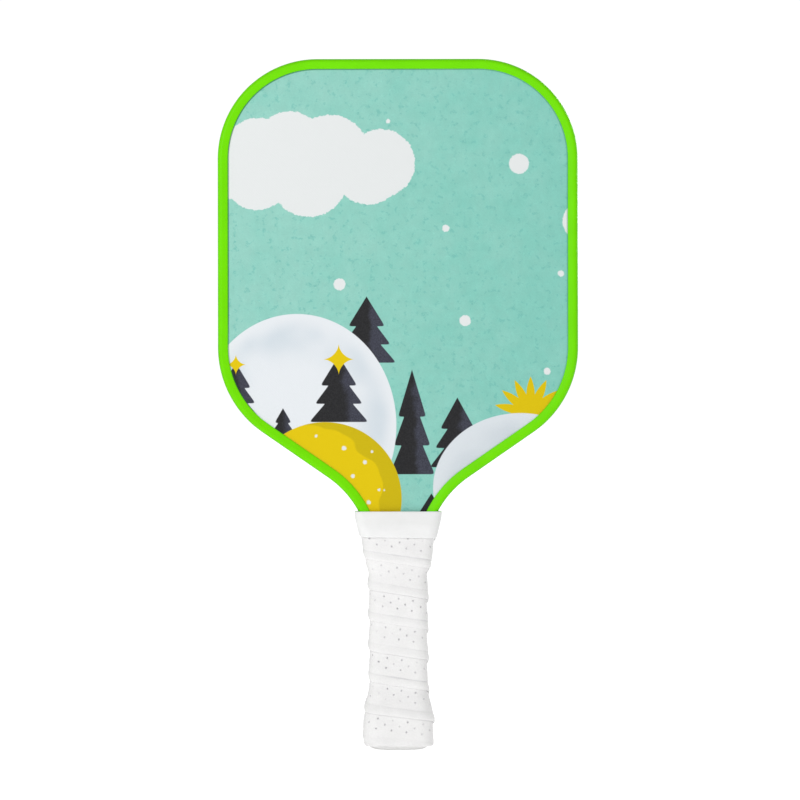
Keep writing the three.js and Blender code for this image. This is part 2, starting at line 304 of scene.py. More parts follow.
def grown(section, thickness):
    z, half_width, half_depth, corner = section
    return z, half_width + thickness, half_depth + thickness, max(0.2, corner + thickness)


# ---- a material's varying numbers


def feed(socket, value):
    """Links a field or a node's output to an input, or sets the input to a plain value."""
    if isinstance(value, Field):
        value = value.socket
    if isinstance(value, bpy.types.NodeSocket):
        socket.id_data.links.new(value, socket)
    else:
        socket.default_value = value


def add_node(tree, kind, inputs, **settings):
    """A new shader node with its settings, and with its inputs fed by name or number."""
    node = tree.nodes.new(f"ShaderNode{kind}")
    for name, value in settings.items():
        setattr(node, name, value)
    for name, value in inputs.items():
        feed(node.inputs[name], value)
    return node


class Field:
    """A number that varies over a material's surface: each operation adds a node."""

    def __init__(self, tree, socket):
        self.tree = tree
        self.socket = socket

    def math(self, operation, *operands):
        inputs = dict(enumerate((self, *operands)))
        node = add_node(self.tree, "Math", inputs, operation=operation)
        return Field(self.tree, node.outputs[0])

    def __add__(self, other):
        return self.math("ADD", other)

    def __sub__(self, other):
        return self.math("SUBTRACT", other)

    def __mul__(self, other):
        return self.math("MULTIPLY", other)

    def __truediv__(self, other):
        return self.math("DIVIDE", other)

    def __neg__(self):
        return self.math("MULTIPLY", -1)

    def size(self):
        return self.math("ABSOLUTE")

    def sine(self):
        return self.math("SINE")

    def joined(self, other, softness=0.0):
        """The union of two shapes, both given as depths inside them."""
        return self.math("SMOOTH_MAX", other, softness) if softness else self.math("MAXIMUM", other)

    def overlap(self, other, softness):
        """The intersection of two shapes, both given as depths inside them."""
        return self.math("SMOOTH_MIN", other, softness)

    def span(self, low, high, to_low, to_high, interpolation="LINEAR"):
        """A straight line from to_low at low to to_high at high, and level beyond them."""
        inputs = {"Value": self, "From Min": low, "From Max": high, "To Min": to_low, "To Max": to_high}
        node = add_node(self.tree, "MapRange", inputs, interpolation_type=interpolation)
        return Field(self.tree, node.outputs["Result"])

    def spread(self, to_low, to_high):
        """Noise's usual range, stretched from to_low to to_high."""
        return self.span(0.3, 0.7, to_low, to_high)

    def step(self, low, high):
        """0 below low, 1 above high, and a smooth step between them."""
        return self.span(low, high, 0, 1, interpolation="SMOOTHSTEP")


class Surface:
    """A new Principled material with helpers that measure its surface in millimetres.

    Inputs given by name get plain values. dress() puts a varying roughness in place of the plain one.
    """

    def __init__(self, name, **uniform):
        self.material = bpy.data.materials.new(name)
        self.material.use_nodes = True
        self.tree = self.material.node_tree
        self.shader = self.tree.nodes["Principled BSDF"]
        for socket_name, value in uniform.items():
            self.shader.inputs[socket_name.replace("_", " ")].default_value = value
        place = add_node(self.tree, "TexCoord", {}).outputs["Object"]
        self.place = self.scaled(place, 1 / MM)

    def scaled(self, vector, scale):
        """A vector or a colour times a number."""
        return add_node(self.tree, "VectorMath", {0: vector, "Scale": scale}, operation="SCALE").outputs[0]

    def axes(self):
        """The place on the surface as fields x, y and z."""
        node = add_node(self.tree, "SeparateXYZ", {0: self.place})
        return [Field(self.tree, socket) for socket in node.outputs]

    def attribute(self, name):
        node = add_node(self.tree, "Attribute", {}, attribute_name=name)
        return Field(self.tree, node.outputs["Fac"])

    def combine(self, x, y, z):
        return add_node(self.tree, "CombineXYZ", {0: x, 1: y, 2: z}).outputs[0]

    def noise(self, size, detail=2.0, roughness=0.5, distortion=0.0, stretch=None, at=None):
        """Noise from 0 to 1 around 0.5, with lumps about size millimetres across."""
        where = at if at is not None else self.place
        if stretch is not None:
            product = add_node(self.tree, "VectorMath", {0: where, 1: stretch}, operation="MULTIPLY")
            where = product.outputs[0]
        inputs = {"Vector": where, "Scale": 1 / size, "Detail": detail, "Roughness": roughness}
        node = add_node(self.tree, "TexNoise", inputs | {"Distortion": distortion})
        return Field(self.tree, node.outputs["Fac"])

    def cells(self, size, feature="F1"):
        """Distance from 0 to about 1 within Voronoi cells about size millimetres across."""
        inputs = {"Vector": self.place, "Scale": 1 / size}
        node = add_node(self.tree, "TexVoronoi", inputs, feature=feature)
        return Field(self.tree, node.outputs["Distance"])

    def blend(self, mask, under, over):
        """The colour over laid on the colour under where the mask is 1."""
        node = add_node(self.tree, "Mix", {"Factor": mask}, data_type="RGBA")
        colour_inputs = [socket for socket in node.inputs if socket.type == "RGBA"]
        for socket, colour in zip(colour_inputs, (under, over)):
            feed(socket, colour)
        return next(socket for socket in node.outputs if socket.type == "RGBA")

    def tint(self, colour, amount):
        """The colour times a number that varies around 1."""
        is_plain = isinstance(colour, tuple)
        return self.scaled(colour[:3] if is_plain else colour, amount)

    def dress(self, colour, relief, roughness):
        """Connects the colour, the bump's height in millimetres and the roughness. Gives the material."""
        bump = add_node(self.tree, "Bump", {"Distance": MM, "Height": relief})
        feed(self.shader.inputs["Normal"], bump.outputs["Normal"])
        feed(self.shader.inputs["Base Color"], colour)
        feed(self.shader.inputs["Roughness"], roughness)
        return self.material


def srgb(red, green, blue):
    """A linear colour from screen values of 0 to 255."""
    def linear(value):
        value /= 255
        return value / 12.92 if value <= 0.04045 else ((value + 0.055) / 1.055) ** 2.4
    return linear(red), linear(green), linear(blue), 1.0


# ---- the printed faces

# The two mint colours are the lit and the shaded ends of a painted light falloff across the face.
MINT_LIT_PALE = srgb(150, 208, 195)
MINT_SHADED_DEEP = srgb(134, 203, 189)
FIBRE_TEAL = srgb(108, 184, 174)
CLOUD = srgb(229, 232, 232)
SNOW = srgb(231, 235, 239)
SNOW_SHADE = srgb(212, 221, 228)
DUSK_SNOW = srgb(220, 226, 231)
DUSK_SHADE = srgb(204, 212, 219)
CHARCOAL = srgb(46, 46, 48)
SLATE = srgb(72, 74, 88)
YELLOW = srgb(228, 199, 2)
YELLOW_SHADE = srgb(200, 178, 8)
SUN = srgb(222, 194, 2)
LIP_SHADOW = srgb(48, 122, 66)


class Artwork(Surface):
    """A plain landscape print. x and z are millimetres across and up the face."""

    def __init__(self, name, mirror=1):
        super().__init__(name, Roughness=0.46, Specular_IOR_Level=0.12)
        across, _, self.z = self.axes()
        self.x = across * mirror
        self.colour = self.paper()

    def paper(self):
        """Mint stock with a painted light falloff, paler on the left towards the key light and deeper
        towards the right, with soft mottling and scattered short fibres.
        """
        # Painted light falloff: the stock pales towards the left, where the key light stands; the noise on
        # top is random mottling.
        depth = self.x.span(-110, 110, -0.1, 0.9) + self.noise(13, detail=3).spread(-0.2, 0.4)
        stock = self.blend(depth, MINT_LIT_PALE, MINT_SHADED_DEEP)
        mottle = self.noise(6, detail=3).spread(0.97, 1.03)
        grain = self.noise(0.9, detail=2, roughness=0.7).span(0.25, 0.75, 0.96, 1.04)
        strokes = (self.noise(2.0, detail=1, distortion=1.2) - 0.5).size().step(0.16, 0.04)
        clumps = self.noise(3.4, detail=2).step(0.54, 0.68)
        stock = self.blend(strokes * clumps * 0.55, stock, FIBRE_TEAL)
        pale = self.noise(2.1, detail=3, roughness=0.6, distortion=1.6).step(0.58, 0.72)
        return self.tint(stock, mottle * grain + pale * 0.07)

    def lay(self, depth, colour, softness=0.22):
        """Prints a colour wherever the depth inside a shape is positive."""
        self.colour = self.blend(depth.step(-softness, softness), self.colour, colour)

    def distance(self, x, z):
        across = self.x - x
        up = self.z - z
        return (across * across + up * up).math("SQRT")

    def disc(self, x, z, radius):
        return -self.distance(x, z) + radius

    def ellipse(self, x, z, half_width, half_height):
        across = (self.x - x) / half_width
        up = (self.z - z) / half_height
        reach = (across * across + up * up).math("SQRT")
        return (-reach + 1) * min(half_width, half_height)

    def discs(self, places):
        """The union of discs, each given as x, z and radius."""
        shape = self.disc(*places[0])
        for place in places[1:]:
            shape = shape.joined(self.disc(*place))
        return shape

    def cloud(self, puffs):
        ragged = self.noise(1.5, detail=2).spread(-0.45, 0.45)
        self.lay(self.discs(puffs) + ragged, CLOUD, softness=0.3)

    def flakes(self, places):
        ragged = self.noise(1.2, detail=1).spread(-0.2, 0.2)
        self.lay(self.discs(places) + ragged, CLOUD, softness=0.35)

    def hill(self, x, z, half_width, half_height, snow=SNOW, shade=SNOW_SHADE):
        """A snow-covered hill with a cool shade a little way in from its crest."""
        shape = self.ellipse(x, z, half_width, half_height)
        band = shape.step(0.5, 9) * (-shape.step(9, 30) + 1)
        drift = self.noise(24, detail=1).span(0.35, 0.65, 0.2, 1.0)
        self.lay(shape, self.blend(band * drift, snow, shade))

    def pine(self, x, tip_z, height, half_width):
        """A rounded evergreen in three tiers, lighter down its right side."""
        across = self.x - x
        spread = across.size()
        shape = None
        for tier in range(3):
            top = tip_z - height * 0.24 * tier
            base = tip_z - height * (0.45 + 0.275 * tier)
            reach = half_width * (0.62 + 0.19 * tier)
            slant = reach / (top - base)
            flank = (-self.z + top) * slant - spread
            part = flank.overlap(self.z - base, 3.0)
            shape = part if shape is None else shape.joined(part, 1.0)
        wander = self.noise(12, detail=2).spread(-2.5, 2.5)
        side = (across + wander - half_width * 0.15).step(-1.5, 2.5)
        grain = self.noise(0.8, detail=2, roughness=0.7).spread(0.75, 1.3)
        dark = self.tint(self.blend(side * 0.75, CHARCOAL, SLATE), grain)
        self.lay(shape, dark)

    def star(self, x, z, size, slimness=0.6):
        """A plain four-pointed star."""
        across = (self.x - x).size().math("POWER", slimness)
        up = (self.z - z).size().math("POWER", slimness)
        shape = -(across + up) + size ** slimness
        self.lay(shape, YELLOW, softness=0.1)

    def sun(self, x, z, radius, ray_reach, ray_count=14):
        """A disc in a ring of pointed rays."""
        angle = (self.z - z).math("ARCTAN2", self.x - x)
        turn = (angle * (ray_count / (2 * math.pi))).math("FRACT")
        point = -((turn - 0.5).size() * 2) + 1
        shape = point * (ray_reach - radius) + radius - self.distance(x, z)
        self.lay(shape, SUN)

    def meadow(self, x, z, radius):
        """A round yellow hill, shaded along its right side."""
        shape = self.disc(x, z, radius)
        sway = self.noise(20, detail=1).spread(-3, 3)
        lit = self.disc(x - radius * 0.26, z - radius * 0.04, radius) + sway
        self.lay(shape, self.blend(lit.step(0.6, -0.6) * 0.8, YELLOW, YELLOW_SHADE))

    def finish(self):
        """Adds a painted shadow line under the guard's lip, faint low down and to the right, away from the
        key light, and a faint grit.
        """
        # Painted shadow: a dark green line just inside the guard's lip, strongest up and to the left.
        lip_shadow_mask = self.attribute("past_lip").step(0.95, 0.2)
        lip_shadow_strength = self.x.span(-70, 70, 0.85, 0.45) * self.z.span(190, 250, 0.15, 1)
        x, _, z = self.axes()
        weave = (x * 4.2).sine() * (z * 4.2).sine()
        grit = self.noise(0.5, detail=2, roughness=0.7)
        return self.dress(
            colour=self.blend(lip_shadow_mask * lip_shadow_strength, self.colour, LIP_SHADOW),
            relief=weave * 0.006 + grit * 0.03,
            roughness=self.noise(7, detail=3).spread(0.42, 0.52),
        )


def front_artwork():
    art = Artwork("front_print_ink")
    art.cloud([
        (-97, 336, 20), (-80, 342.5, 20), (-62, 346, 20.3), (-39, 341, 23.2), (-9.5, 336.5, 19.4),
        (-81, 329, 19.3), (-51, 328, 22.3), (-17, 333, 20.2),
    ])
    art.flakes([
        (69.5, 336, 5.7), (-33.5, 267, 3.4), (38.5, 246, 3.2), (27.5, 299, 2.0), (85.5, 217, 2.0),
        (93.5, 273, 1.8), (-5.5, 360.5, 1.2), (105.5, 303, 11.0),
    ])
    art.sun(76, 193, 11, 21)
    art.pine(-18, 260, 38, 17)
    art.pine(8, 218, 60, 13)
    art.pine(34, 202, 40, 16)
    art.hill(70, 150, 50, 43, snow=DUSK_SNOW, shade=DUSK_SHADE)
    art.hill(-58, 186, 57, 64)
    art.pine(-34, 226, 38, 17)
    art.pine(-93, 222, 32, 14)
    art.pine(-66, 196, 19, 8)
    art.star(-34, 224, 9)
    art.star(-93, 221, 6)
    art.meadow(-42, 144, 44)
    art.pine(19, 147, 30, 14)
    art.flakes([
        (-31, 173, 1.3), (-15, 171, 0.7), (-19, 165, 1.1), (-26, 157, 1.1),
        (-11, 149, 0.8), (-8, 149, 0.5), (-17, 142, 1.2), (-47, 180, 0.8),
    ])
    return art.finish()


def back_artwork():
    art = Artwork("back_print_ink", mirror=-1)
    art.cloud([
        (20, 338, 17), (40, 344, 21), (62, 338, 19), (80, 334, 14), (50, 330, 18), (30, 328, 14),
    ])
    art.flakes([
        (-62, 346, 5.0), (-30, 300, 3.0), (14, 262, 3.2), (-80, 268, 2.2), (62, 282, 2.4), (-8, 356, 1.6),
    ])
    art.sun(-66, 204, 12, 22)
    art.pine(30, 246, 46, 17)
    art.pine(-6, 212, 50, 14)
    art.hill(-70, 146, 62, 60, snow=DUSK_SNOW, shade=DUSK_SHADE)
    art.hill(58, 178, 58, 56)
    art.pine(72, 216, 34, 15)
    art.meadow(30, 138, 42)
    return art.finish()


# ---- the other materials


def guard_plastic():
    """Lime moulded plastic with faint lines along its length, painted shade on the web's outer side and
    paler rubbed edges.
    """
    surface = Surface("guard_plastic", Roughness=0.3, Specular_IOR_Level=0.08)
    track = surface.combine(surface.attribute("along") * 0.02, surface.attribute("around"), 0)
    lines = surface.noise(0.5, detail=2, roughness=0.6, at=track)
    shade = surface.noise(14, detail=2).spread(0.97, 1.03)
    lime = surface.tint(srgb(116, 226, 2), shade * lines.spread(0.98, 1.02))
    edge = surface.attribute("side").step(0.35, 1.0)
    # Painted shade: a duller, slightly darker lime over the web's outer side, where it curves away from the
    # light.
    lime = surface.blend(edge * 0.3, lime, srgb(128, 220, 16))
    rub = surface.noise(2.2, detail=4, roughness=0.7).step(0.62, 0.74) * edge
    return surface.dress(
        colour=surface.blend(rub * 0.35, lime, srgb(170, 235, 90)),
        relief=lines * 0.03 + surface.noise(0.6, detail=2) * 0.012,
        roughness=lines.spread(0.27, 0.38) + rub * 0.15,
    )


def grip_foam():
    """White polyurethane skin on foam: fine leather grain, faint pulls along the strip, and painted shade
    down the seams and in the holes.
    """
    surface = Surface("grip_foam", Roughness=0.72, Specular_IOR_Level=0.3)
    tone = surface.noise(11, detail=2).spread(0.975, 1.02)
    fine = surface.noise(0.9, detail=2).spread(0.98, 1.02)
    white = surface.tint(srgb(243, 242, 242), tone * fine)
    grain = surface.cells(0.55, feature="SMOOTH_F1")
    pulls = surface.noise(2.4, detail=3, stretch=(0.35, 0.35, 1.6))
    return surface.dress(
        # Painted shade: grey blended in down the seams and inside the perforations, where shade falls.
        colour=surface.blend(surface.attribute("painted_shade") * 0.5, white, srgb(196, 196, 200)),
        relief=grain * 0.08 + pulls * 0.15,
        roughness=surface.noise(4, detail=2).spread(0.66, 0.80),
    )


def collar_rubber():
    surface = Surface("collar_rubber", Roughness=0.6, Specular_IOR_Level=0.35)
    tone = surface.noise(8, detail=2).spread(0.985, 1.015)
    skin = surface.noise(0.8, detail=2, roughness=0.6)
    waves = surface.noise(6, detail=2, stretch=(0.5, 0.5, 1.2))
    return surface.dress(
        colour=surface.tint(srgb(245, 245, 245), tone),
        relief=skin * 0.025 + waves * 0.12,
        roughness=surface.noise(3, detail=3).spread(0.54, 0.66),
    )


def cap_plastic():
    surface = Surface("cap_plastic", Roughness=0.42, Specular_IOR_Level=0.45)
    tone = surface.noise(9, detail=2).spread(0.985, 1.01)
    return surface.dress(
        colour=surface.tint(srgb(240, 240, 239), tone),
        relief=surface.cells(0.45) * 0.03,
        roughness=surface.noise(3, detail=3).spread(0.36, 0.50),
    )


def medallion_plastic():
    surface = Surface("medallion_plastic", Roughness=0.3, Specular_IOR_Level=0.5)
    tone = surface.noise(5, detail=2).spread(0.98, 1.02)
    brushed = surface.noise(0.4, detail=2, stretch=(0.1, 1, 1))
    return surface.dress(
        colour=surface.tint(srgb(222, 226, 226), tone),
        relief=brushed * 0.02,
        roughness=brushed.spread(0.24, 0.38),
    )


def core_polymer():
    surface = Surface("core_polymer", Roughness=0.5)
    haze = surface.noise(3, detail=3).spread(0.94, 1.04)
    return surface.dress(
        colour=surface.tint(srgb(233, 230, 218), haze),
        relief=surface.noise(0.6, detail=2, stretch=(1, 0.2, 1)) * 0.04,
        roughness=surface.noise(2, detail=2).spread(0.42, 0.58),
    )


def adhesive_film():
    surface = Surface("adhesive_film", Roughness=0.35)
    smears = surface.noise(4, detail=3, distortion=1.0)
    return surface.dress(
        colour=surface.tint(srgb(217, 207, 166), smears.spread(0.9, 1.06)),
        relief=smears * 0.05,
        roughness=smears.spread(0.28, 0.45),
    )


def fibreglass():
    """Woven glass cloth under resin."""
    surface = Surface("fibreglass", Roughness=0.35)
    x, _, z = surface.axes()
    weave = (x * 3.1).sine() * (z * 3.1).sine()
    return surface.dress(
        colour=surface.tint(srgb(216, 221, 214), weave.span(-1, 1, 0.94, 1.04)),
        relief=weave * 0.04,
        roughness=weave.span(-1, 1, 0.28, 0.42),
    )


def bonding_tape():
    surface = Surface("bonding_tape", Roughness=0.75)
    foam = surface.cells(0.8)
    return surface.dress(
        colour=surface.tint(srgb(240, 240, 234), foam.span(0, 0.9, 0.94, 1.02)),
        relief=foam * 0.08,
        roughness=foam.span(0, 0.9, 0.68, 0.82),
    )


def pallet_wood():
    surface = Surface("pallet_wood", Roughness=0.7)
    grain = surface.noise(1.2, detail=4, roughness=0.6, stretch=(1, 1, 0.05))
    rings = surface.noise(7, detail=2, stretch=(1, 1, 0.08))
    pale = surface.blend(rings.step(0.42, 0.58), srgb(222, 194, 150), srgb(201, 166, 118))
    return surface.dress(
        colour=surface.tint(pale, grain.spread(0.9, 1.06)),
        relief=grain * 0.06,
        roughness=grain.spread(0.62, 0.78),
    )


def staple_steel():
    surface = Surface("staple_steel", Roughness=0.3, Metallic=1.0)
    scratch = surface.noise(0.3, detail=3, stretch=(0.15, 1, 1))
    return surface.dress(
        colour=surface.tint(srgb(186, 189, 194), scratch.spread(0.9, 1.05)),
        relief=scratch * 0.01,
        roughness=scratch.spread(0.25, 0.42),
    )


def finishing_tape():
    """Creped paper tape."""
    surface = Surface("finishing_tape", Roughness=0.65)
    crepe = surface.noise(0.7, detail=2, stretch=(1.6, 1.6, 0.3))
    return surface.dress(
        colour=surface.tint(srgb(238, 238, 234), crepe.spread(0.95, 1.02)),
        relief=crepe * 0.08,
        roughness=crepe.spread(0.6, 0.74),
    )


def dress_cad_nodes():
    """Gives every hidden CAD node the material of what it is made of."""
    finishes = {
        "honeycomb_core": core_polymer(),
        "edge_guard_tape": bonding_tape(),
        "grip_finishing_tape": finishing_tape(),
    }
    pairs = {
        "adhesive_film": adhesive_film(),
        "face_sheet": fibreglass(),
        "handle_pallet": pallet_wood(),
        "cap_staple": staple_steel(),
    }
    finishes["grip_adhesive_tape"] = pairs["adhesive_film"]
    for side in ("front", "back"):
        finishes |= {f"{side}_{part}": material for part, material in pairs.items()}
    for node, material in finishes.items():
        for material_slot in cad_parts[node].material_slots:
            material_slot.material = material


# ---- the printed films

# Rings of points inwards from the film's edge, close together where the guard's lip ends.
FILM_RINGS = [PANEL_INSET, 5.6, 6.0, 6.2, 6.5, 7.0, 8.0, 10.0]


def make_film(side):
    """The printed film: a flat skin with a thin rim. past_lip is the distance in from the guard's lip."""
    sign = -1 if side == "front" else 1
    outer_y = sign * PANEL_HALF_THICKNESS
    inner_y = sign * abs(FILM_BACK_Y)
    points = []
    past_lip = []
    rings = [(inset, outer_y) for inset in FILM_RINGS]
    rings.insert(0, (PANEL_INSET, inner_y))
    for inset, y in rings:
        track = outline(inset, FILM_END_Z)
        points += [(x, y, z) for x, z in track]
        past_lip += [inset - GUARD_LIP_WIDTH] * len(track)
    faces = tube_faces(len(rings), len(points) // len(rings))
    art = front_artwork() if side == "front" else back_artwork()
    film = make_piece(f"{side}_print", points, faces, art, f"{side}_graphic_film")
    add_attribute(film, "past_lip", past_lip)
    film.data.shade_flat()


# ---- the edge guard


def guard_profile():
    """(inset, y) points round the channel: the web's outside, one lip, the inside, the other lip.

    The outside is nearly flat on the web, turns over a rounded shoulder, slopes down along the lip and
    ends in a small rolled edge, which is undercut where it meets the face.
    """
    web = 1.4
    web_edge = 4.1
    crown_inset = 2.3
    slope_end = 4.9
    slope_drop = 0.42
    roll_base = PANEL_HALF_THICKNESS + 0.15
    outside = [(0.0, 0.0), (0.02, 1.4), (0.06, 2.8)]
    for step in range(9):
        angle = QUARTER_TURN * step / 8
        inset = lerp(0.12, crown_inset, 1 - math.cos(angle))
        outside.append((inset, lerp(web_edge, GUARD_HALF_THICKNESS, math.sin(angle))))
    for step in range(1, 5):
        inset = lerp(crown_inset, slope_end, step / 4)
        outside.append((inset, GUARD_HALF_THICKNESS - slope_drop * (step / 4) ** 1.5))
    roll_height = GUARD_HALF_THICKNESS - slope_drop - roll_base
    for step in range(1, 6):
        angle = QUARTER_TURN * step / 5
        inset = lerp(slope_end, GUARD_LIP_WIDTH, math.sin(angle))
        outside.append((inset, roll_base + roll_height * math.cos(angle)))
    outside.append((GUARD_LIP_WIDTH - 0.2, PANEL_HALF_THICKNESS))
    inside = [(3.6, PANEL_HALF_THICKNESS), (web, PANEL_HALF_THICKNESS), (web, PANEL_HALF_THICKNESS / 2)]
    half = outside + inside
    mirrored = [(inset, -y) for inset, y in reversed(half[1:])]
    return half + [(web, 0.0)] + mirrored


def make_guard():
    profile = guard_profile()
    tracks = [outline(inset, GUARD_END_Z) for inset, _ in profile]
    lengths = path_lengths(tracks[0])
    station_count = len(lengths)
    points = []
    for track, (_, y) in zip(tracks, profile):
        points += [(x, y, z) for x, z in track]
    faces = wall_faces(len(profile), station_count, True, False)
    faces.append(tuple(row * station_count for row in range(len(profile))))
    faces.append(tuple((row + 1) * station_count - 1 for row in reversed(range(len(profile)))))
    guard = make_piece("edge_guard_channel", points, faces, guard_plastic(), "edge_guard")
    add_attribute(guard, "along", lengths * len(profile))
    add_attribute(guard, "around", [value for value in path_lengths(profile) for _ in range(station_count)])
    sides = [1 - ease(inset, 0, 2.2) for inset, _ in profile]
    add_attribute(guard, "side", [value for value in sides for _ in range(station_count)])
    smooth(guard, 50)


# ---- the grip strip


def base_section(z):
    """The rounded rectangle that the strip lies on at height z, on a smooth curve through HANDLE_BASE."""
    rows = HANDLE_BASE
    index = row_below(rows, z)
    low, high = rows[index], rows[index + 1]
    before = rows[max(0, index - 1)]
    after = rows[min(len(rows) - 1, index + 2)]
    gap = high[0] - low[0]
    t = min(1, max(0, (z - low[0]) / gap))
    section = []
    for k in range(1, 4):
        rise = (high[k] - low[k]) / gap
        slope_low = slope_between(before, low, k, rise)
        slope_high = slope_between(high, after, k, rise)
        curve = (2 * t ** 3 - 3 * t ** 2 + 1) * low[k] + (3 * t ** 2 - 2 * t ** 3) * high[k]
        curve += (t ** 3 - 2 * t ** 2 + t) * gap * slope_low + (t ** 3 - t ** 2) * gap * slope_high
        section.append(curve)
    return tuple(section)


def slope_between(first, second, k, here):
    """The curve's slope at a row: the mean of its two sides' slopes, or level at a turning point."""
    if first[0] == second[0]:
        return here
    beyond = (second[k] - first[k]) / (second[0] - first[0])
    return 0 if beyond * here <= 0 else 2 * beyond * here / (beyond + here)


def folding(turn):
    """1 where the strip folds sharply over the turn below it, 0 where its edge stands proud instead."""
    return 0.5 - 0.5 * math.cos(math.pi * turn)


def seam_strength(turn, seed):
    """How firmly a seam is pressed in. It wanders along the strip, fades to the left of each face and is
    missing from the first turn, which lies flat on the cap.
    """
    side = (2 * turn + 0.5) % 1 - 0.5
    fade = ease(turn, -0.8, -0.4) * (1 - 0.6 * ease(side, 0.02, 0.2) * (1 - ease(side, 0.4, 0.5)))
    return fade * (0.85 + 0.6 * noise.noise(Vector((turn * 4.3, seed, 0.3))))


def strip_top(turn, rise):
    """Height of the strip's outer skin over its base, by the distance up from its lower edge."""
    fold = folding(turn)
    if rise > TAIL_RISE:
        height = lerp(TAIL_HEIGHT, TAIL_TIP_HEIGHT, ease(rise, TAIL_RISE, STRIP_WIDTH))
    else:
        waver = RIDGE_WAVER * noise.noise(Vector((turn * 3.1, 2.7, 0.3)))
        ridge = lerp(*RIDGE_HEIGHTS, fold) + waver - RIDGE_SLOPE * ease(rise, 2.2, STRIP_OVERLAP)
        body = lerp(BODY_HEIGHT, TAIL_HEIGHT, ease(rise, 5.5, TAIL_RISE))
        depth = lerp(*CREASE_DEPTHS, fold) * seam_strength(turn, FOLD_SEED)
        height = lerp(ridge, body, ease(rise, STRIP_OVERLAP - 0.4, STRIP_OVERLAP + 1.1))
        height -= depth * bell(rise - FOLD_RISE, CREASE_WIDTH)
    edge = min(1, rise / lerp(*EDGE_WIDTHS, fold))
    return height - lerp(*EDGE_DROPS, fold) * (1 - math.sqrt(1 - (1 - edge) ** 2))


def strip_bottom(turn, rise):
    """Height of the strip's underside: on the turn below where they overlap, else on the handle."""
    over = strip_top(turn - 1, min(STRIP_WIDTH, rise + STRIP_PITCH)) + LAP_GAP
    return over * (1 - ease(rise, STRIP_OVERLAP - 0.4, STRIP_OVERLAP + 0.8))


def strip_line(turn):
    """Height of the strip's lower edge after so many turns. It climbs faster round the narrow sides."""
    return STRIP_PHASE_Z + STRIP_PITCH * (turn - SIDE_CLIMB * math.sin(4 * math.pi * turn))


